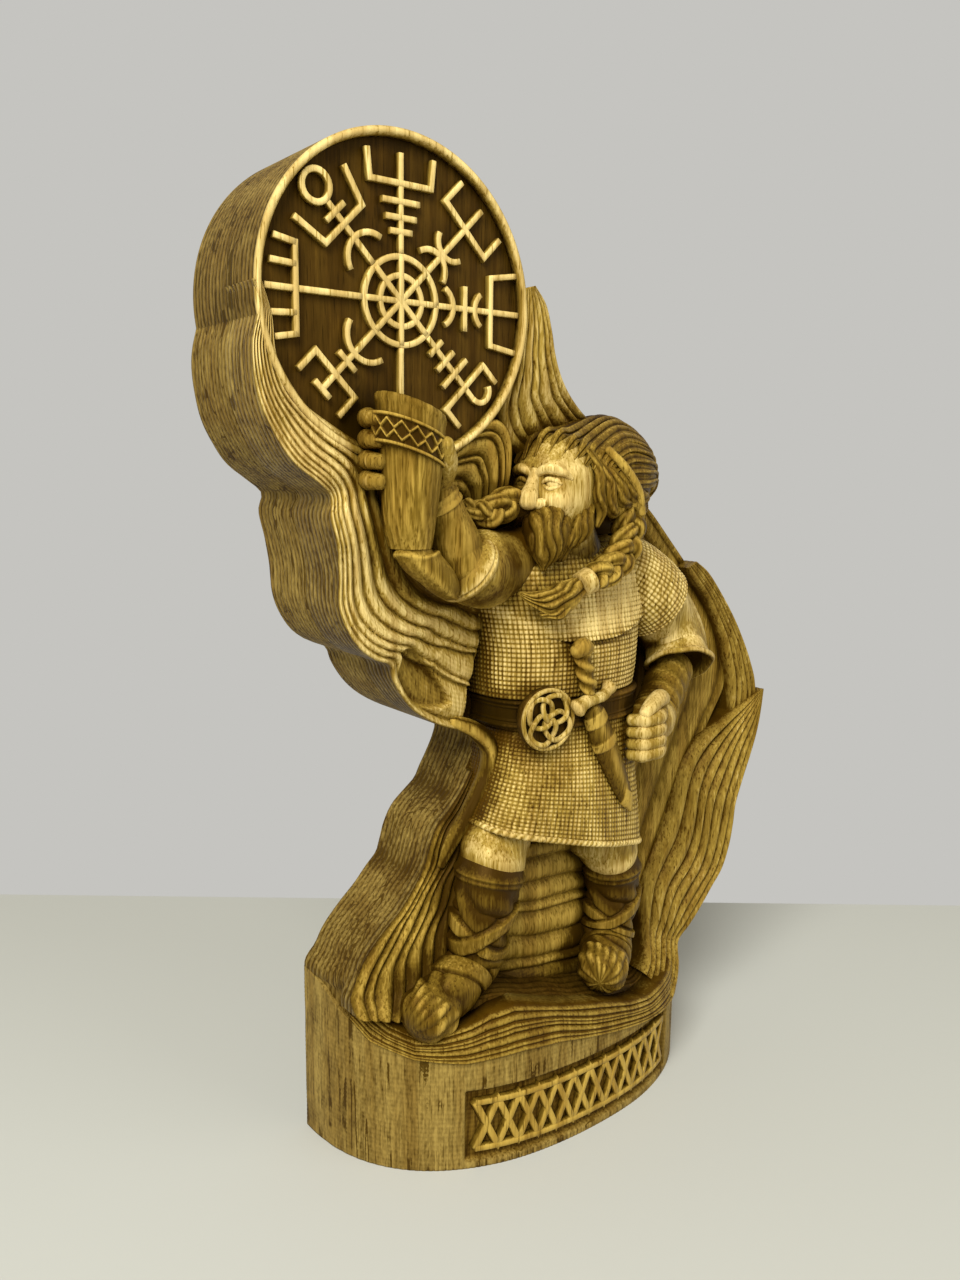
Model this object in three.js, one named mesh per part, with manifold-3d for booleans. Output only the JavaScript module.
// Carved wooden dwarf with a compass disc, in millimetres, +Z up.
// X runs to the viewer's right, Y runs backwards, and the origin is the middle of the underside.
// The figure is carved from one thick blank with a flat back. Each carved form is a solid of its own.
import * as THREE from 'three';
import { mergeVertices } from 'three/addons/utils/BufferGeometryUtils.js';
import Module from 'manifold-3d';

const wasm = await Module();
wasm.setup();

// Driving sizes of the blank and the plinth
const BLANK_DEPTH = 58;
const FIGURE_RELIEF = 35;
const SEAT_GAP = 0.3;
const PLINTH_WIDTH = 146.8;
const PLINTH_MIDDLE = 2.4;
const PLINTH_STEP_BACK = 1;
const PLAN_POWER = 2.34;
const RIM_THICKNESS = 9;
const RIM_STEP_OUT = 1.2;
const BAND_PANEL_DEPTH = 2.2;
const BAND_RELIEF = 1.9;
const BAND_HEIGHT = 20;
const BAND_FOOT = 4;
const BAND_START = -39;
const BAND_END = 44;
const BAND_LOZENGES = 6;
const BAND_STROKE = 2.2;

// Driving sizes of the disc and its compass
const DISC_RADIUS = 42.7;
const DISC_LEFT = -100.5;
const DISC_FOOT = 214.6;
const DISC_PROUD = 16;
const DISC_RIM_WIDTH = 2.2;
const DISC_RECESS = 3;
const COMPASS_RELIEF = 1.7;
const COMPASS_STROKE = 1.6;

// Driving sizes of the figure
const TORSO_HALF_WIDTH = 30;
const TORSO_HALF_DEPTH = 22;
const TORSO_X = 4;
const TORSO_LIFT = 7;
const BODY_POWER = 2.4;
const BELT_HEIGHT = 9;
const BELT_FOOT = 135.5;
const BELT_PROUD = 1.6;
const SHOULDER_TOP = 193;
const HEM_MIDDLE = 96.8;
const HEM_SLOPE = 0.26;
const BUCKLE_RADIUS = 10;
const BUCKLE_X = -15;
const BUCKLE_CORD = 1.25;
const BUCKLE_PLATE = 1.6;
const DAGGER_DEPTH = 3.2;
const HEAD_HEIGHT = 38;
const HORN_MOUTH_RADIUS = 9;
const HORN_MOUTH_SLOPE = 0.38;
const HORN_BAND_HEIGHT = 8;
const HORN_BAND_PROUD = 0.7;

// Places that follow from the driving sizes
const BACK_Y = BLANK_DEPTH / 2;
const SLAB_FRONT = FIGURE_RELIEF - BLANK_DEPTH / 2;
const SEAT_Y = SLAB_FRONT - SEAT_GAP;
const PLINTH_DEPTH = BLANK_DEPTH - PLINTH_STEP_BACK;
const DISC_X = DISC_LEFT + DISC_RADIUS;
const DISC_Z = DISC_FOOT + DISC_RADIUS;
const DISC_FRONT = SLAB_FRONT - DISC_PROUD;
const FIELD_Y = DISC_FRONT + DISC_RECESS;
const TORSO_Y = SLAB_FRONT - TORSO_LIFT;
const BELT_TOP = BELT_FOOT + BELT_HEIGHT;

// Wood finishes: sanded tops, stained hollows, the dark field and the side walls
const wood = (color, roughness) => () => new THREE.MeshStandardMaterial({ color, roughness, metalness: 0 });
const sanded = wood(0xc2a768, 0.55);
const toned = wood(0x9a7a3e, 0.6);
const stained = wood(0x5f4a2a, 0.65);
const sawn = wood(0x8c7650, 0.75);

const carving = new THREE.Group();
carving.name = 'carving';

// A swollen copy of each finished solid is kept, and later neighbours are cut by it
const placed = [];

function solidOf(geometry) {
  const bare = geometry.index ? geometry.clone() : geometry;
  bare.deleteAttribute('normal');
  bare.deleteAttribute('uv');
  const merged = mergeVertices(bare, 1e-4);
  const mesh = new wasm.Mesh({
    numProp: 3,
    vertProperties: new Float32Array(merged.attributes.position.array),
    triVerts: new Uint32Array(merged.index.array),
  });
  return new wasm.Manifold(mesh);
}

function geometryOf(solid) {
  const mesh = solid.getMesh();
  const geometry = new THREE.BufferGeometry();
  geometry.setAttribute('position', new THREE.BufferAttribute(new Float32Array(mesh.vertProperties), 3));
  geometry.setIndex(new THREE.BufferAttribute(new Uint32Array(mesh.triVerts), 1));
  geometry.computeVertexNormals();
  return geometry;
}

function largestBody(solid) {
  let best = null;
  for (const body of solid.decompose()) {
    if (best === null || body.volume() > best.volume()) best = body;
  }
  return best;
}

function boxesMeet(a, b) {
  for (let k = 0; k < 3; k += 1) {
    if (a.min[k] > b.max[k] || b.min[k] > a.max[k]) return false;
  }
  return true;
}

// A shape is a function of how far it is swollen. It is cut by every neighbour that was placed before it.
function place(name, material, shape) {
  let solid = shape(0);
  for (const other of placed) {
    if (boxesMeet(solid.boundingBox(), other.boundingBox())) solid = solid.subtract(other);
  }
  solid = largestBody(solid);
  placed.push(shape(SEAT_GAP));
  const mesh = new THREE.Mesh(geometryOf(solid), material());
  mesh.name = name;
  carving.add(mesh);
}

// Rings of equal length are joined into a closed skin, with flat ends unless the rings run in a loop
function skin(rings, looped = false) {
  const count = rings[0].length;
  const positions = [];
  for (const ring of rings) for (const p of ring) positions.push(p.x, p.y, p.z);
  const index = [];
  const last = looped ? rings.length : rings.length - 1;
  for (let i = 0; i < last; i += 1) {
    const a = i * count;
    const b = ((i + 1) % rings.length) * count;
    for (let j = 0; j < count; j += 1) {
      const k = (j + 1) % count;
      index.push(a + j, a + k, b + k, a + j, b + k, b + j);
    }
  }
  if (!looped) {
    for (const [ring, start, flip] of [[rings[0], 0, true], [rings.at(-1), (rings.length - 1) * count, false]]) {
      const middle = new THREE.Vector3();
      for (const p of ring) middle.addScaledVector(p, 1 / count);
      const hub = positions.length / 3;
      positions.push(middle.x, middle.y, middle.z);
      for (let j = 0; j < count; j += 1) {
        const k = (j + 1) % count;
        if (flip) index.push(hub, start + k, start + j);
        else index.push(hub, start + j, start + k);
      }
    }
  }
  const geometry = new THREE.BufferGeometry();
  geometry.setAttribute('position', new THREE.Float32BufferAttribute(positions, 3));
  geometry.setIndex(index);
  let solid = solidOf(geometry);
  if (solid.volume() <= 0) {
    for (let i = 0; i < index.length; i += 3) [index[i + 1], index[i + 2]] = [index[i + 2], index[i + 1]];
    geometry.setIndex(index);
    solid = solidOf(geometry);
  }
  return solid;
}

// An outline in X and Z, carried from the front to the back
function plate(points, front, back) {
  const shape = new THREE.Shape(points.map(([x, z]) => new THREE.Vector2(x, z)));
  const geometry = new THREE.ExtrudeGeometry(shape, { depth: back - front, bevelEnabled: false });
  geometry.rotateX(Math.PI / 2);
  geometry.translate(0, back, 0);
  return solidOf(geometry);
}

// An outline in X and Y, carried upwards
function slice(points, foot, top) {
  const shape = new THREE.Shape(points.map(([x, y]) => new THREE.Vector2(x, y)));
  const geometry = new THREE.ExtrudeGeometry(shape, { depth: top - foot, bevelEnabled: false });
  geometry.translate(0, 0, foot);
  return solidOf(geometry);
}

function block(x0, x1, y0, y1, z0, z1) {
  const geometry = new THREE.BoxGeometry(x1 - x0, y1 - y0, z1 - z0);
  geometry.translate((x0 + x1) / 2, (y0 + y1) / 2, (z0 + z1) / 2);
  return solidOf(geometry);
}

// A closed outline is pushed outwards by a distance, corner by corner
function pushed(points, distance) {
  if (distance === 0) return points;
  let area = 0;
  points.forEach(([x, z], i) => {
    const [x1, z1] = points[(i + 1) % points.length];
    area += x * z1 - x1 * z;
  });
  const side = area > 0 ? 1 : -1;
  return points.map(([x, z], i) => {
    const [xa, za] = points[(i + points.length - 1) % points.length];
    const [xb, zb] = points[(i + 1) % points.length];
    const run = new THREE.Vector2(xb - xa, zb - za).normalize();
    return [x + side * run.y * distance, z - side * run.x * distance];
  });
}

// Plinth: the plan is a flattened round with a straight back
function plan(inset) {
  const half = PLINTH_WIDTH / 2 - inset;
  const deep = PLINTH_DEPTH - inset;
  const points = [];
  const steps = 26;
  for (let i = 0; i <= steps; i += 1) {
    const angle = (Math.PI * i) / steps;
    const across = Math.sign(Math.cos(angle)) * Math.abs(Math.cos(angle)) ** (2 / PLAN_POWER);
    const along = Math.max(Math.sin(angle), 0) ** (2 / PLAN_POWER);
    points.push([PLINTH_MIDDLE - half * across, BACK_Y - deep * along]);
  }
  return points;
}

// The plinth's top line and the rim's top line, from the left corner to the right, as X and Z
const rimFoot = [[-71, 56], [-69, 49], [-65, 42], [-56, 38], [-43, 36], [-25, 37], [-11, 36], [12, 31.5],
  [29, 28.5], [45, 26], [60, 25], [68, 28], [76, 34]];
const rimTop = [[-71, 60], [-68, 55], [-62, 47.5], [-56, 44.5], [-49, 45], [-41, 47.5], [-36, 50], [-28, 51.5],
  [-21, 49.7], [-8, 46], [7, 42.4], [23, 37.3], [35, 34.7], [56, 34], [76, 42]];
const lineAt = (line, x) => {
  if (x <= line[0][0]) return line[0][1];
  for (let i = 1; i < line.length; i += 1) {
    const [x0, z0] = line[i - 1];
    const [x1, z1] = line[i];
    if (x <= x1) return z0 + ((z1 - z0) * (x - x0)) / (x1 - x0);
  }
  return line.at(-1)[1];
};

// An upright outline between two heights over a span of X
function strip(low, high, start, end, steps) {
  const lower = [];
  const upper = [];
  for (let i = 0; i <= steps; i += 1) {
    const x = start + ((end - start) * i) / steps;
    lower.push([x, low(x)]);
    upper.push([x, high(x)]);
  }
  return lower.concat(upper.reverse());
}

const plinthLeft = PLINTH_MIDDLE - PLINTH_WIDTH / 2 - 2;
const plinthRight = PLINTH_MIDDLE + PLINTH_WIDTH / 2 + 2;
const plinthTop = (x) => lineAt(rimFoot, x);

place('base_plinth', sawn, (grow) => {
  const front = SLAB_FRONT - 2 * BLANK_DEPTH;
  const back = BACK_Y + grow;
  const side = plate(strip(() => -grow, (x) => plinthTop(x) + grow, plinthLeft, plinthRight, 20), front, back);
  const body = slice(plan(-grow), -1, DISC_Z).intersect(side);
  const panel = block(BAND_START - 3 + grow, BAND_END + 3 - grow, front, SLAB_FRONT,
    BAND_FOOT - 1.5 + grow, BAND_FOOT + BAND_HEIGHT + 1.5 - grow);
  return body.subtract(panel.subtract(slice(plan(BAND_PANEL_DEPTH - grow), -2, DISC_Z)));
});

// A carved band of lozenges stands up inside the sunk panel on the plinth's front
function stroke(points, width, front, back) {
  const left = [];
  const right = [];
  points.forEach(([x, z], i) => {
    const [xa, za] = points[Math.max(i - 1, 0)];
    const [xb, zb] = points[Math.min(i + 1, points.length - 1)];
    const run = new THREE.Vector2(xb - xa, zb - za).normalize();
    let reach = width / 2;
    if (i > 0 && i < points.length - 1) {
      const part = new THREE.Vector2(xb - x, zb - z).normalize();
      reach /= Math.max(Math.abs(run.dot(part)), 0.5);
    }
    left.push([x - run.y * reach, z + run.x * reach]);
    right.push([x + run.y * reach, z - run.x * reach]);
  });
  return plate(left.concat(right.reverse()), front, back);
}

place('plinth_band', toned, (grow) => {
  const pitch = (BAND_END - BAND_START) / BAND_LOZENGES;
  const low = BAND_FOOT + BAND_STROKE;
  const high = BAND_FOOT + BAND_HEIGHT - BAND_STROKE;
  const rails = [low, high].map((z) => [[BAND_START, z], [BAND_END, z]]);
  const rising = [];
  const falling = [];
  for (let i = 0; i <= 2 * BAND_LOZENGES; i += 1) {
    const x = BAND_START + (pitch * i) / 2;
    rising.push([x, i % 2 === 0 ? low : high]);
    falling.push([x, i % 2 === 0 ? high : low]);
  }
  let flat = null;
  for (const line of [rising, falling, ...rails]) {
    const piece = stroke(line, BAND_STROKE + 2 * grow, -BLANK_DEPTH, SLAB_FRONT);
    flat = flat === null ? piece : flat.add(piece);
  }
  const reach = BAND_PANEL_DEPTH - SEAT_GAP + grow;
  const shell = slice(plan(BAND_PANEL_DEPTH - BAND_RELIEF - grow), 0, DISC_Z);
  return flat.intersect(shell.subtract(slice(plan(reach), -1, DISC_Z + 1)));
});

// The back slab's outline: its left side from the top down, then its right side from the foot up
const slabLeft = [[-101, 258], [-99.5, 252], [-101.5, 243], [-101, 233], [-98.5, 224], [-93, 215], [-86, 209.5],
  [-82, 206], [-83, 201], [-81.5, 194], [-80, 186], [-79.5, 178], [-77.5, 171.5], [-73.5, 165.5], [-68, 161.5],
  [-62, 159], [-60, 154], [-55.5, 147.5], [-50, 142.5], [-42, 138], [-34, 135], [-26, 132], [-21, 129.5],
  [-21.5, 125], [-24.5, 119], [-28.5, 113], [-33, 108], [-38, 103.5], [-41, 98], [-43, 92], [-46.5, 86.5],
  [-52, 80], [-58, 74.5], [-64, 68], [-67.5, 62], [-70.5, 56.5]];
const slabRight = [[76, 33], [76.5, 50], [82, 57], [88.5, 63.5], [92, 72], [93.5, 80], [94.5, 88], [98, 97],
  [101.5, 106], [103.5, 117], [103.5, 126], [101.5, 135], [98, 143], [94, 151], [88.5, 159.5], [81, 169],
  [73, 177.5], [66, 182], [57, 189.5], [47, 199], [37, 207], [35.5, 213], [32, 219], [26, 224], [18, 227.5],
  [10, 232], [4, 237], [-0.5, 242], [-3.5, 248], [-5.5, 254], [-8, 261], [-12.5, 266]];
const slabOutline = slabLeft.concat([[-72, 30], [PLINTH_MIDDLE, 24]], slabRight);

const discAxis = (radius, front, back, segments = 48) => {
  const geometry = new THREE.CylinderGeometry(radius, radius, back - front, segments);
  geometry.translate(0, (front + back) / 2, 0);
  geometry.translate(DISC_X, 0, DISC_Z);
  return solidOf(geometry);
};

// Disc: a thick round standing at the back of the raised arm, with a thin rim round a sunk field
place('disc_body', stained, (grow) => discAxis(DISC_RADIUS + grow, FIELD_Y - grow, BACK_Y + grow));

place('disc_rim', sanded, (grow) => {
  const outer = discAxis(DISC_RADIUS + grow, DISC_FRONT - grow, FIELD_Y - SEAT_GAP + grow);
  return outer.subtract(discAxis(DISC_RADIUS - DISC_RIM_WIDTH - grow, DISC_FRONT - 5, FIELD_Y + 5));
});

// The slab is one board, told apart in five lengths from the foot to the crown
const slabCuts = [['slab_foot', 20, 70], ['slab_hip', 70, 110], ['slab_waist', 110, 150],
  ['slab_breast', 150, 206], ['slab_crown', 206, 270]];
for (const [name, foot, top] of slabCuts) {
  place(name, sawn, (grow) => {
    const half = SEAT_GAP / 2;
    const board = plate(pushed(slabOutline, grow), SLAB_FRONT - grow, BACK_Y + grow);
    const reach = 2 * DISC_Z;
    const part = board.intersect(block(-reach, reach, -reach, reach, foot + half - grow, top - half + grow));
    if (foot > lineAt(rimFoot, plinthRight)) return part;
    const belowCorner = block(-reach, reach, -reach, reach, 0, lineAt(rimFoot, plinthLeft));
    const trimmed = part.intersect(slice(plan(-grow), 0, DISC_Z));
    return part.subtract(belowCorner).add(trimmed);
  });
}

// Compass strokes are laid out from the disc's middle in steps, of which 40.5 reach the rim
const SPOKE_STEP = (DISC_RADIUS - DISC_RIM_WIDTH) / 40.5;
const ringSteps = 11.3;
const hubSteps = 6.5;
const compassFront = FIELD_Y - COMPASS_RELIEF;
const compassBack = FIELD_Y - SEAT_GAP;

function arcPoints(x, z, radius, from, to, steps = 6) {
  const points = [];
  for (let i = 0; i <= steps; i += 1) {
    const angle = THREE.MathUtils.degToRad(from + ((to - from) * i) / steps);
    points.push([x + radius * Math.cos(angle), z + radius * Math.sin(angle)]);
  }
  return points;
}

function compassPart(lines, turn, grow) {
  const angle = THREE.MathUtils.degToRad(turn);
  let whole = null;
  for (const line of lines) {
    const points = line.map(([out, side]) => [
      DISC_X + SPOKE_STEP * (out * Math.cos(angle) - side * Math.sin(angle)),
      DISC_Z + SPOKE_STEP * (out * Math.sin(angle) + side * Math.cos(angle)),
    ]);
    const piece = stroke(points, COMPASS_STROKE + 2 * grow, compassFront - grow, compassBack + grow);
    whole = whole === null ? piece : whole.add(piece);
  }
  return whole;
}

place('compass_rings', sanded, (grow) => {
  let whole = null;
  for (const radius of [ringSteps * SPOKE_STEP, hubSteps * SPOKE_STEP]) {
    const outer = discAxis(radius + COMPASS_STROKE / 2 + grow, compassFront - grow, compassBack + grow, 28);
    const ring = outer.subtract(discAxis(radius - COMPASS_STROKE / 2 - grow, compassFront - 3, compassBack + 3, 28));
    whole = whole === null ? ring : whole.add(ring);
  }
  for (let turn = 0; turn < 180; turn += 45) {
    whole = whole.add(compassPart([[[-ringSteps, 0], [ringSteps, 0]]], turn, grow));
  }
  return whole;
});

// Each stave is given along its own spoke: steps out, then steps to its left
const start = ringSteps + COMPASS_STROKE / (2 * SPOKE_STEP);
const cross = (out, half) => [[out, -half], [out, half]];
const fork = (out, half, prong, flare = 0) => [
  [[out + prong, half + flare], [out, half], [out, -half], [out + prong, -half - flare]],
];
const staves = {
  stave_north: [90, [[[start, 0], [37, 0]], cross(17.5, 3.4), cross(21, 4.8), cross(25, 5.8),
    ...fork(29.5, 9.5, 7.3, 0.8)]],
  stave_north_east: [45, [[[start, 0], [37.5, 0]], arcPoints(12.5, 0, 5.5, -75, 75), arcPoints(24, 0, 5, 110, 250),
    ...fork(29.6, 9.3, 7.6)]],
  stave_east: [0, [[[start, 0], [40, 0]], arcPoints(11.5, 0, 5.6, -60, 60), cross(21, 6),
    arcPoints(30, 0, 5.6, 130, 230), ...fork(30, 9.2, 9, 1.5)]],
  stave_south_east: [-45, [[[start, 0], [35, 0]], cross(16, 2.9), cross(20.6, 3.8), cross(25, 5.6),
    ...fork(30, 9, 6.5), arcPoints(34.3, 3.3, 3.3, -90, 70)]],
  stave_south: [-90, [[[start, 0], [30, 0]]]],
  stave_south_west: [-135, [[[start, 0], [34, 0]], arcPoints(13.5, 0, 7, -75, 75), cross(23.5, 3.4),
    ...fork(28.4, 8, 7), cross(34, 3)]],
  stave_west: [180, [[[start, 0], [39.5, 0]], cross(31, 11.6), [[31, 10.9], [37, 12]], [[31, 5.8], [38, 6.2]],
    [[31, -5.8], [38, -6.2]], [[31, -10.9], [37, -12]]]],
  stave_north_west: [135, [[[start, 0], [31.5, 0]], arcPoints(13.5, 0, 6.6, -75, 75), cross(27.8, 3.6),
    ...fork(24.2, 7.5, 10, 2.5), arcPoints(35.4, 0, 3.9, 0, 350, 10)]],
};
for (const [name, [turn, lines]] of Object.entries(staves)) {
  place(name, sanded, (grow) => compassPart(lines, turn, grow));
}

// A rounded limb: a path of X, height in front of the slab, Z and radius, with domed ends
function limb(path, sides = 10, steps = 6, flat = 1) {
  return (grow) => {
    const curve = new THREE.CatmullRomCurve3(path.map(([x, lift, z]) => new THREE.Vector3(x, SLAB_FRONT - lift, z)));
    const widths = new THREE.CatmullRomCurve3(path.map((p) => new THREE.Vector3(p[3], 0, 0)));
    const rings = [];
    const ring = (centre, along, radius) => {
      const side = new THREE.Vector3(0, 1, 0).cross(along).normalize();
      const fore = along.clone().cross(side).normalize();
      const points = [];
      for (let j = 0; j < sides; j += 1) {
        const angle = (2 * Math.PI * j) / sides;
        points.push(centre.clone().addScaledVector(side, Math.cos(angle) * radius)
          .addScaledVector(fore, Math.sin(angle) * radius * flat));
      }
      rings.push(points);
    };
    const dome = [[0.8, 0.5]];
    for (let i = 0; i <= steps; i += 1) {
      const t = i / steps;
      const centre = curve.getPoint(t);
      const along = curve.getTangent(t);
      const radius = widths.getPoint(t).x + grow;
      const ends = dome.map(([out, share]) => [centre.clone(), out * radius, share]);
      if (i === 0) {
        for (const [middle, out, share] of ends) ring(middle.addScaledVector(along, -out), along, radius * share);
      }
      ring(centre, along, radius);
      if (i === steps) {
        for (const [middle, out, share] of ends.reverse()) {
          ring(middle.addScaledVector(along, out), along, radius * share);
        }
      }
    }
    return skin(rings);
  };
}

function joined(...shapes) {
  return (grow) => shapes.map((shape) => shape(grow)).reduce((a, b) => a.add(b));
}

function ball(x, lift, z, rx, ry, rz, around = 14, rings = 9) {
  return (grow) => {
    const geometry = new THREE.SphereGeometry(1, around, rings);
    geometry.rotateX(Math.PI / 2);
    geometry.scale(rx + grow, ry + grow, rz + grow);
    geometry.translate(x, SLAB_FRONT - lift, z);
    return solidOf(geometry);
  };
}

// Flattened round sections stacked upwards: height at the middle, X, Y, half width, half depth
function stack(sections, sides = 22, heightOf = (x, z) => z) {
  return (grow) => {
    const rings = sections.map(([z, x, y, rx, ry], i) => {
      const points = [];
      const ends = (i === 0 ? -grow : 0) + (i === sections.length - 1 ? grow : 0);
      for (let j = 0; j < sides; j += 1) {
        const angle = (2 * Math.PI * j) / sides;
        const c = Math.cos(angle);
        const s = Math.sin(angle);
        const px = x + (rx + grow) * Math.sign(c) * Math.abs(c) ** (2 / BODY_POWER);
        const py = y + (ry + grow) * Math.sign(s) * Math.abs(s) ** (2 / BODY_POWER);
        points.push(new THREE.Vector3(px, py, heightOf(px, z) + ends));
      }
      return points;
    });
    return skin(rings);
  };
}

// Raised right arm: a hand round a drinking horn, a bare forearm and a rolled sleeve
const hornY = SLAB_FRONT - 24;
const hornAxis = [[-61.5, hornY, 229.5], [-62.5, hornY, 215], [-61.5, hornY, 203], [-58, hornY, 192]];
const hornBandTop = hornAxis[0][2] - 5;
place('horn', toned, (grow) => {
  const radii = [HORN_MOUTH_RADIUS, 8.6, 7.8, 6.6];
  const curve = new THREE.CatmullRomCurve3(hornAxis.map((p) => new THREE.Vector3(...p)));
  const rings = [];
  const sides = 12;
  const steps = 5;
  const widths = new THREE.CatmullRomCurve3(radii.map((r) => new THREE.Vector3(r, 0, 0)));
  for (let i = 0; i <= steps; i += 1) {
    const t = i / steps;
    const centre = curve.getPoint(t);
    const radius = widths.getPoint(t).x + grow;
    const points = [];
    for (let j = 0; j < sides; j += 1) {
      const angle = (2 * Math.PI * j) / sides;
      const slope = (t - 1) * HORN_MOUTH_SLOPE * Math.cos(angle) * radius;
      points.push(centre.clone().add(new THREE.Vector3(radius * Math.cos(angle), radius * Math.sin(angle), slope)));
    }
    rings.push(points);
  }
  const mouth = rings[0].map((p) => p.clone().add(new THREE.Vector3(0, 0, grow + 0.1)));
  return grow > 0 ? skin([mouth, ...rings]) : skin(rings);
});

place('horn_tip', toned, limb([[-57.4, 24, 190.3, 6.2], [-54.5, 24, 184.5, 5.2], [-50.5, 24, 179, 3],
  [-48, 24, 176.5, 1.2]], 10, 5));

place('horn_band', stained, (grow) => {
  const radius = HORN_MOUTH_RADIUS + HORN_BAND_PROUD + grow;
  const rings = [];
  const sides = 12;
  for (const z of [hornBandTop + grow, hornBandTop - HORN_BAND_HEIGHT - grow]) {
    const points = [];
    for (let j = 0; j < sides; j += 1) {
      const angle = (2 * Math.PI * j) / sides;
      const x = hornAxis[0][0] - 0.6 + radius * Math.cos(angle);
      const y = hornAxis[0][1] + radius * Math.sin(angle);
      points.push(new THREE.Vector3(x, y, z - HORN_MOUTH_SLOPE * Math.cos(angle) * radius));
    }
    rings.push(points);
  }
  return skin(rings);
});

const fingerHeights = [222.5, -210.5, 210.5, 204.8];
const fingers = fingerHeights.map((z) => limb([[-66, 10, z + 0.8, 2.6], [-71.3, 15, z + 0.3, 2.8],
  [-72.2, 20, z, 2.8], [-70, 23.5, z - 0.2, 2.5]], 6, 2));
place('right_hand', sanded, joined(
  limb([[-49.5, 21, 207, 5], [-50.5, 18, 214, 6.5], [-58, 12, 214, 6.5], [-66, 11, 213, 6]], 8, 4),
  limb([[-50, 21, 211, 3.2], [-51, 28, 215, 3.1], [-52.5, 31, 220.5, 3]], 7, 3),
  ...fingers,
));

place('right_forearm', toned, limb([[-41.5, 20, 190, 8.4], [-44, 20.5, 197, 7.6], [-47.5, 21, 204, 6.2]], 10, 3));
place('right_sleeve', sanded, joined(
  limb([[-42.5, 21, 186.5, 9.4], [-39.5, 21, 187.5, 10]], 12, 1),
  limb([[-37, 20, 187, 9], [-30, 19, 186, 10.6], [-22, 17, 182.5, 11.5], [-12, 14, 179, 11]], 12, 4),
));

// Buckle: a round plate with a cord ring and a knot of two crossed loops
const bodyFront = (x) => {
  const share = Math.abs((x - TORSO_X) / TORSO_HALF_WIDTH) ** BODY_POWER;
  return TORSO_Y - TORSO_HALF_DEPTH * Math.max(1 - share, 0) ** (1 / BODY_POWER);
};
const buckleY = bodyFront(BUCKLE_X) - BELT_PROUD;
const buckleZ = BELT_FOOT + BELT_HEIGHT / 2;
const buckleTurn = -0.28;

function onBuckle(solid) {
  return solid.rotate([0, 0, THREE.MathUtils.radToDeg(buckleTurn)]).translate([BUCKLE_X, buckleY, buckleZ]);
}

function loop(points, radius, sides = 4) {
  const curve = new THREE.CatmullRomCurve3(points.map((p) => new THREE.Vector3(...p)), true);
  const steps = points.length;
  const frames = curve.computeFrenetFrames(steps, true);
  const rings = [];
  for (let i = 0; i < steps; i += 1) {
    const centre = curve.getPointAt(i / steps);
    const ring = [];
    for (let j = 0; j < sides; j += 1) {
      const angle = (2 * Math.PI * j) / sides;
      ring.push(centre.clone().addScaledVector(frames.normals[i], radius * Math.cos(angle))
        .addScaledVector(frames.binormals[i], radius * Math.sin(angle)));
    }
    rings.push(ring);
  }
  return skin(rings, true);
}

const ringPoints = (radius, count, y = 0) => Array.from({ length: count }, (_, i) => {
  const angle = (2 * Math.PI * i) / count;
  return [radius * Math.cos(angle), y, radius * Math.sin(angle)];
});

place('buckle_plate', stained, (grow) => {
  const geometry = new THREE.CylinderGeometry(BUCKLE_RADIUS + grow, BUCKLE_RADIUS + grow, BELT_HEIGHT + 2 * grow, 20);
  geometry.translate(0, BELT_HEIGHT / 2, 0);
  return onBuckle(solidOf(geometry).translate([0, -BUCKLE_PLATE, 0]));
});

place('buckle_knot', sanded, (grow) => {
  const cord = BUCKLE_CORD + grow;
  const y = -BUCKLE_PLATE - SEAT_GAP - BUCKLE_CORD;
  let whole = loop(ringPoints(BUCKLE_RADIUS - BUCKLE_CORD, 16, y), cord);
  const lobes = 4;
  const count = 7;
  for (let lobe = 0; lobe < lobes; lobe += 1) {
    const turn = (2 * Math.PI * lobe) / lobes + Math.PI / 4;
    const points = [];
    for (let i = 0; i < count; i += 1) {
      const angle = (2 * Math.PI * i) / count;
      const out = 0.36 * BUCKLE_RADIUS + 0.36 * BUCKLE_RADIUS * Math.cos(angle);
      const side = 0.3 * BUCKLE_RADIUS * Math.sin(angle);
      points.push([out * Math.cos(turn) - side * Math.sin(turn), y, out * Math.sin(turn) + side * Math.cos(turn)]);
    }
    whole = whole.add(loop(points, cord * 0.85));
  }
  return onBuckle(whole);
});

// Dagger in its scabbard, hung on the front of the belt
const daggerLift = SLAB_FRONT - bodyFront(0) + DAGGER_DEPTH / 2 + BELT_PROUD;
place('dagger_grip', toned, joined(
  limb([[-3.8, daggerLift, 158.5, 2.3], [-2.2, daggerLift, 153, 2.5], [-0.6, daggerLift, 148.6, 2.2]], 8, 2),
  ball(-4.6, daggerLift, 161.6, 4, 2.8, 3.2, 8, 6),
));
place('dagger_guard', sanded, limb([[-7.5, daggerLift, 143.2, 2.3], [0.5, daggerLift, 144.6, 1.7],
  [7, daggerLift, 146.2, 1.8], [12, daggerLift - 1, 145.6, 1.9]], 7, 4));
place('scabbard', stained, limb([[2, daggerLift, 140, 3.4], [6, daggerLift, 132, 3.3], [12, daggerLift, 120, 2.9],
  [18.5, daggerLift - 1, 107.5, 1.9]], 8, 4));

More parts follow.
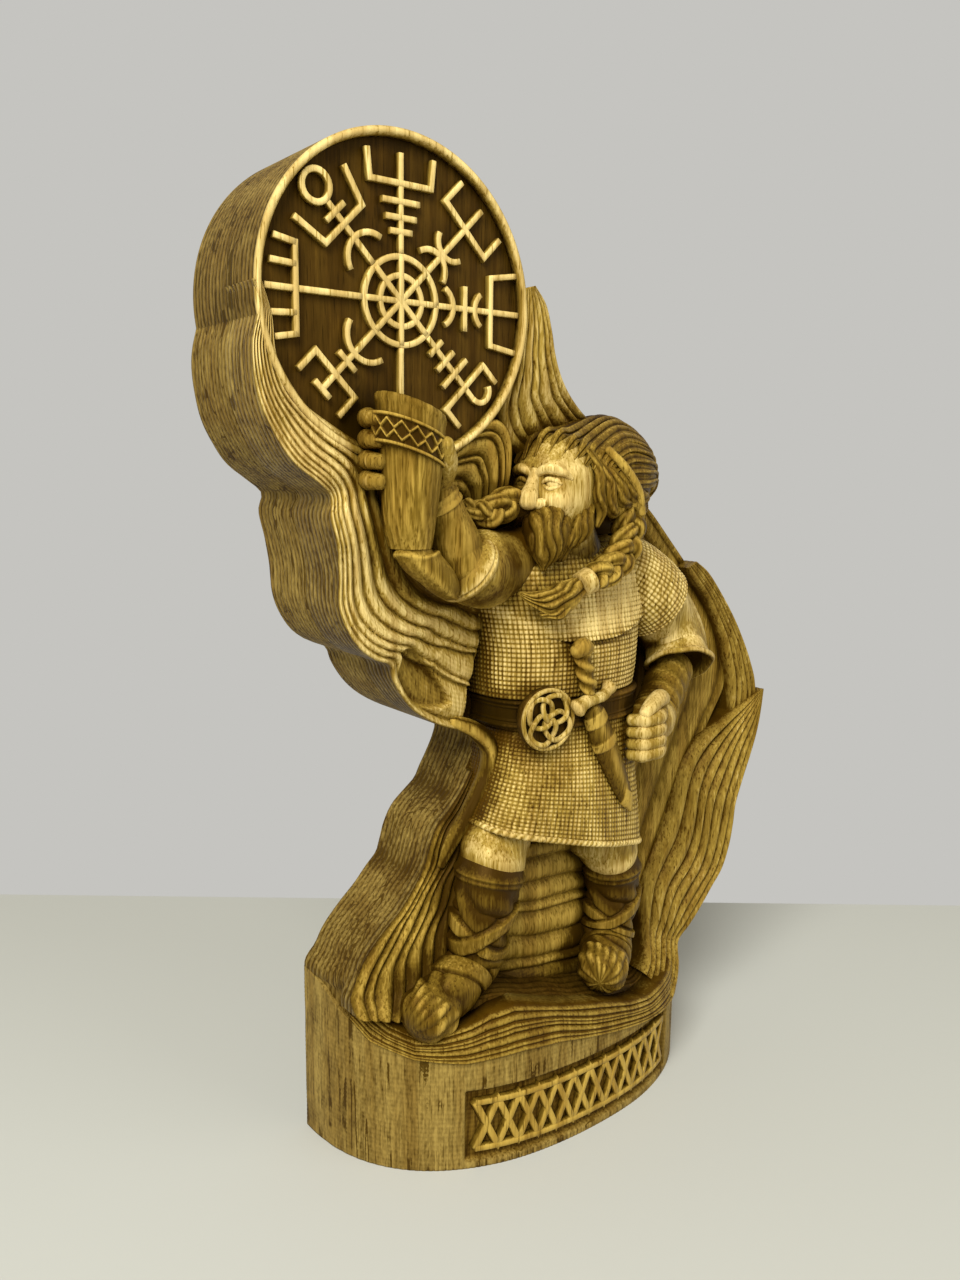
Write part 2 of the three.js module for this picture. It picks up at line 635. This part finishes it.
// Left arm, bent with the fist at the belt
place('left_fist', sanded, joined(
  ball(30.5, 26.5, 131.5, 8.6, 7, 8.2, 12, 8),
  limb([[23.5, 30, 134.5, 2.8], [29, 32.2, 134.6, 3]], 6, 1),
  limb([[24, 29.5, 129.5, 2.7], [30.5, 32.2, 130, 2.9]], 6, 1),
  limb([[25, 28.5, 125.2, 2.4], [31.5, 30.8, 125.6, 2.6]], 6, 1),
));
place('left_forearm', toned, limb([[37, 23, 133, 6.6], [46, 18, 139, 7.2], [58, 13, 145, 7.8]], 10, 3));
place('left_sleeve', sanded, limb([[37, 14, 174, 12.4], [48, 14, 168, 12.2], [57, 13, 160, 11.6],
  [61, 11, 151.5, 11]], 14, 5));

// A strand of the waves runs down behind the belt's end, along the slab's edge
place('neck_strand', toned, limb([[-33, 2.8, 138.6, 2.2], [-26, 2.8, 135.6, 2.4], [-21.6, 3, 129, 2.5],
  [-21.8, 3, 121, 2.5], [-24.5, 3, 113.5, 2.4]], 8, 6));

// Torso in mail, the belt and the mail skirt
const beltX = TORSO_X + 1.2;
place('belt', stained, stack([BELT_FOOT, BELT_TOP].map((z) => [z, beltX, TORSO_Y,
  TORSO_HALF_WIDTH - 2 + BELT_PROUD, TORSO_HALF_DEPTH - 1 + BELT_PROUD]), 24));

const chest = [[0, 1, 0.96, 0.95], [0.12, 1, 0.985, 0.98], [0.3, 1, 1, 1], [0.48, 1, 1.03, 0.95],
  [0.66, 1.2, 1.1, 0.84], [0.8, 1.5, 1.06, 0.68], [0.91, 1.9, 0.84, 0.52], [1, 2.2, 0.5, 0.36]];
place('torso_mail', sanded, stack(chest.map(([share, lean, wide, deep]) => [
  BELT_TOP + SEAT_GAP + share * (SHOULDER_TOP - BELT_TOP - SEAT_GAP), TORSO_X + lean - 1,
  TORSO_Y, TORSO_HALF_WIDTH * wide, TORSO_HALF_DEPTH * deep])));

const hemHeight = (x) => HEM_MIDDLE - HEM_SLOPE * (x - TORSO_X);
const skirtTop = BELT_FOOT - SEAT_GAP;
const skirt = [[0, 0.5, 1.1, 1.08], [0.45, 1.8, 0.98, 1.03], [1, 2.2, 0.88, 0.93]];
place('mail_skirt', sanded, stack(skirt.map(([share, lean, wide, deep]) => [share, TORSO_X + lean, TORSO_Y,
  TORSO_HALF_WIDTH * wide, TORSO_HALF_DEPTH * deep]), 22, (x, share) => {
  const foot = hemHeight(x);
  return foot + share * (skirtTop - foot);
}));

// Head turned to the viewer's left, with beard, hair and plaits
place('beard', toned, joined(
  limb([[-9, 21, 200, 8], [-13, 25, 195, 7.4], [-14.5, 26.5, 189.5, 5], [-15, 27, 186, 2.4]], 10, 4),
  limb([[-3, 21, 196, 6.5], [-9, 23, 192, 6]], 8, 2),
  limb([[-17, 26.5, 203.5, 2.6], [-11.5, 27.5, 202, 2.6], [-7.5, 26.5, 197.5, 1.8]], 6, 3),
  limb([[-18, 25.5, 203.5, 2.4], [-22, 21.5, 201.5, 2], [-21, 20, 197, 1.6]], 6, 2),
));
const headZ = 210;
place('head', sanded, joined(
  ball(-1, 15, headZ, 17, 13.5, HEAD_HEIGHT / 2, 16, 10),
  limb([[-15, 23, 213, 2.4], [-19, 25, 209, 3], [-20.5, 25.8, 206.2, 3.6]], 7, 3),
));
const plaitPath = [[14, 25, 208], [17.5, 25, 201], [17, 26.5, 194.5], [12.5, 28, 188.5], [6, 29.5, 184.5],
  [-1, 31, 182]];
place('braid_ring', sanded, limb([[-3.6, 30.4, 181.4, 3.6], [-6.6, 30.6, 180.2, 3.4]], 8, 1));
place('braid_tuft', toned, limb([[-10, 30.5, 178.5, 3], [-15, 30.3, 176, 4.2], [-21, 29.5, 175.2, 3.2],
  [-27, 28.5, 176.8, 1.2]], 7, 4));
place('left_braid', toned, limb(plaitPath.map((p, i) => [...p, i < 2 ? 5.4 : 4.8 - 0.3 * i]), 8, 7));
place('right_braid', toned, limb([[-20, 16, 204.5, 5], [-26, 17.5, 202.5, 5.2], [-31.5, 16.5, 200.5, 4.6],
  [-36, 14.5, 203, 3.2]], 8, 4));
place('hair', toned, joined(
  ball(12, 13, 213, 20.5, 15, 17, 16, 10),
  ball(-4, 11, 217, 16, 11, 12.5, 14, 9),
));

// Legs in breeches and strapped boots. Arms, plaits and legs are named by the figure's own left and right.
place('right_leg', sanded, limb([[-18, 9.5, 109, 10.5], [-22, 12.8, 101.5, 11.6], [-25.5, 16.5, 95, 11.2]], 12, 3));
place('right_boot', toned, joined(
  limb([[-26.5, 16, 90.5, 10.6], [-28.5, 16, 81, 9.6], [-29.5, 14.5, 71, 8.8], [-28, 12.5, 63, 8.4]], 11, 4),
  limb([[-28, 12, 60, 8], [-36.4, 14, 58, 8.2], [-45, 15.5, 53, 7.6], [-51.6, 16, 49.4, 5.8]], 10, 5, 0.9),
));
place('left_leg', sanded, limb([[20, 12, 98, 11.2], [23.5, 15.5, 91, 11.2], [26, 16.5, 85, 10.2]], 12, 3));
place('left_boot', toned, joined(
  limb([[27, 15.5, 80, 9.6], [28, 15, 70, 8.8], [27.5, 14.5, 60, 8.4], [26.5, 14.5, 54, 8.2]], 11, 4),
  limb([[26.5, 15, 51.5, 8.2], [20.5, 19.5, 49.5, 8.4], [15.5, 23.5, 47.4, 7]], 10, 4, 0.9),
));

// Ground under the feet, the waves behind the legs and the ridged rim round the plinth's top
function ringBand(low, high, out, deep, ridges, relief) {
  return (grow) => {
    const edge = plan(-out - grow);
    const inner = plan(deep + grow);
    const rings = edge.map(([x, y], i) => {
      const foot = low(x) + SEAT_GAP - grow;
      const top = high(x) + grow;
      const points = [];
      for (let k = 0; k <= 2 * ridges; k += 1) {
        const share = k / (2 * ridges);
        const sunk = (k % 2 === 0 ? relief : 0) + 2.2 * share;
        const [xi, yi] = [inner[i][0] - x, inner[i][1] - y];
        const length = Math.hypot(xi, yi) || 1;
        points.push(new THREE.Vector3(x + (xi / length) * sunk, y + (yi / length) * sunk, foot + share * (top - foot)));
      }
      points.push(new THREE.Vector3(inner[i][0], inner[i][1], top));
      points.push(new THREE.Vector3(inner[i][0], inner[i][1], foot));
      return points;
    });
    const reach = 2 * BLANK_DEPTH;
    return skin(rings).intersect(block(-reach, reach, -reach, SEAT_Y + grow, 0, reach));
  };
}
place('rim_waves', sanded, ringBand(plinthTop, (x) => lineAt(rimTop, x), RIM_STEP_OUT, RIM_THICKNESS, 3, 1.1));

place('ground', stained, (grow) => {
  const inset = RIM_THICKNESS + SEAT_GAP - grow;
  const top = (x) => lineAt(rimTop, x) - 1.2;
  const wall = plate(strip((x) => plinthTop(x) + SEAT_GAP - grow, (x) => top(x) + 12, plinthLeft, plinthRight, 18),
    -2 * BLANK_DEPTH, SEAT_Y + grow);
  const steps = 12;
  const rings = [];
  const front = -BLANK_DEPTH / 2 + RIM_THICKNESS;
  for (let i = 0; i <= steps; i += 1) {
    const x = plinthLeft + ((plinthRight - plinthLeft) * i) / steps;
    const rise = top(x) + grow;
    rings.push([new THREE.Vector3(x, -BLANK_DEPTH, 10), new THREE.Vector3(x, -BLANK_DEPTH, rise - 1),
      new THREE.Vector3(x, front, rise), new THREE.Vector3(x, SEAT_Y + 1, rise + 6),
      new THREE.Vector3(x, SEAT_Y + 1, 10)]);
  }
  return wall.intersect(slice(plan(inset), 0, DISC_Z)).intersect(skin(rings));
});

place('ground_swirl', toned, (grow) => {
  const rolls = 5;
  const foot = 40;
  const pitch = 10.5;
  const sections = [];
  for (let i = 0; i <= 2 * rolls; i += 1) {
    const swell = i % 2 === 0 ? 0 : 2;
    const drawn = 1 - 0.03 * i;
    sections.push([foot + (i * pitch) / 2, 6, SLAB_FRONT - 4, (18 + swell) * drawn, (9.5 + swell) * drawn]);
  }
  return stack(sections, 16)(grow);
});

// Flowing waves are bands between two edge lines. Each line is a list of X, Z and height in front of the slab.
// From here on, left and right in a name are the viewer's.
function ridgedBand(outer, inner, ridges, relief, steps, from = 0, to = 1) {
  const line = (points) => new THREE.CatmullRomCurve3(
    points.map(([x, z, lift]) => new THREE.Vector3(x, SLAB_FRONT - lift, z)),
  );
  const outerLine = line(outer);
  const innerLine = line(inner);
  return (grow) => {
    const rings = [];
    for (let i = 0; i <= steps; i += 1) {
      const t = from + ((to - from) * i) / steps;
      const a = outerLine.getPoint(t);
      const b = innerLine.getPoint(t);
      const across = new THREE.Vector3(b.x - a.x, 0, b.z - a.z).normalize();
      a.addScaledVector(across, -grow);
      b.addScaledVector(across, grow);
      const end = (i === 0 ? -1 : 0) + (i === steps ? 1 : 0);
      const along = outerLine.getTangent(t).setY(0).normalize().multiplyScalar(end * grow);
      const points = [];
      for (let k = 0; k <= 2 * ridges; k += 1) {
        const share = k / (2 * ridges);
        const p = a.clone().lerp(b, share).add(along);
        p.y += (k % 2 === 0 ? relief : 0) - grow;
        points.push(p);
      }
      points.push(new THREE.Vector3(b.x, SEAT_Y + grow, b.z).add(along));
      points.push(new THREE.Vector3(a.x, SEAT_Y + grow, a.z).add(along));
      rings.push(points);
    }
    return skin(rings);
  };
}

const leftOuter = [[-101, 258, 16], [-101.5, 245, 16], [-100, 231, 16.5], [-95, 218.5, 19], [-86, 209.8, 20],
  [-82, 206, 18], [-82.8, 198, 21.5], [-80.2, 186, 19], [-79, 176, 18], [-73, 165, 18], [-62, 159, 15],
  [-57, 150, 13], [-50, 142.5, 12], [-42, 138, 11], [-33.5, 136, 10]];
const leftInner = [[-98.5, 258, 16], [-94, 244, 16], [-88, 231, 15], [-82, 221, 15], [-76, 214, 15],
  [-71, 205, 14], [-69, 196, 14], [-64, 187, 13], [-57, 181, 13], [-49, 178, 13], [-41, 175, 12],
  [-35, 170, 12], [-31, 163, 13], [-28, 156, 13], [-26, 148, 12]];
place('left_wave_upper', sanded, ridgedBand(leftOuter, leftInner, 4, 1.4, 9, 0, 5 / 14));
place('left_wave_middle', sanded, ridgedBand(leftOuter, leftInner, 4, 1.6, 8, 5.04 / 14, 10 / 14));
place('left_wave_lower', sanded, ridgedBand(leftOuter, leftInner, 4, 1.6, 7, 10.04 / 14, 1));

place('arch_waves', toned, ridgedBand(
  [[-48, 219, 14], [-39, 221, 14.5], [-31, 226.5, 15], [-24, 227, 15], [-19.5, 221, 14], [-19, 212, 13],
    [-20, 202, 12]],
  [[-46, 210, 8], [-42, 210, 8], [-38, 209, 8], [-34, 208, 8], [-32, 206, 8], [-31, 204, 8],
    [-30, 200, 8]], 3, 1.2, 8));

// The flame's points are given from the disc's right edge
const besideDisc = (points) => points.map(([x, z, lift]) => [DISC_X + DISC_RADIUS + x, z, lift]);
place('disc_flame', sanded, ridgedBand(
  besideDisc([[2.6, 266, 16], [7.1, 261, 16], [9.8, 253.5, 16], [13.1, 244.5, 15], [19.1, 237, 14], [29.1, 230, 12]]),
  besideDisc([[-0.9, 265, 16], [-1.9, 256, 15], [-2.9, 247, 14], [-5.9, 237, 13], [-7.9, 229, 12], [1.1, 218, 10]]),
  4, 1.3, 8));

place('fan_strands', toned, ridgedBand(
  [[-26.5, 116, 3.5], [-33, 108, 4], [-41, 98, 5], [-44, 90, 5], [-52, 80, 6], [-63.5, 68.5, 6], [-70, 57.5, 5]],
  [[-18, 117, 5.5], [-21, 108, 7], [-26, 98, 9], [-30, 90, 10], [-35, 80, 10], [-42, 68, 11], [-50, 54, 11]],
  4, 1.3, 9));

place('right_tongue', sanded, ridgedBand(
  [[66, 182, 14], [73, 177.3, 14], [82, 168, 14], [91, 156, 14.5], [98, 143.3, 15], [102, 133.2, 15]],
  [[64.6, 180.6, 14], [67.5, 174, 14], [74, 162, 13], [81, 149, 13], [86, 138, 13], [88, 130, 13]],
  3, 1.2, 7));

place('right_leaf', sanded, ridgedBand(
  [[101.8, 131.5, 16], [103.6, 120, 15.5], [102, 108, 15], [97, 94.5, 15], [93.3, 80, 15], [90.5, 68.5, 15],
    [81.5, 57, 15], [72, 47.5, 15], [65, 38, 14], [62, 31, 12]],
  [[99, 132, 16], [86, 125.5, 14], [75, 117, 13], [66, 105, 12], [61, 92, 12], [57, 80, 12], [51, 69, 12],
    [46, 59, 12], [44, 49, 12], [43, 40, 11]], 5, 1.7, 11));

place('right_mantle', toned, ridgedBand(
  [[37, 207, 11], [48, 197.5, 10], [60, 186, 9.5], [70, 172, 9], [79, 153, 9], [83, 135, 8], [75, 114, 7],
    [64, 94, 7], [56, 76, 7], [48, 58, 7]],
  [[26, 203, 8], [30, 194, 6], [36, 182, 5], [44, 168, 5], [50, 152, 5], [48, 135, 5], [40, 116, 5],
    [36, 98, 5], [32, 80, 5], [30, 62, 5]], 2, 1.5, 10));

export default carving;
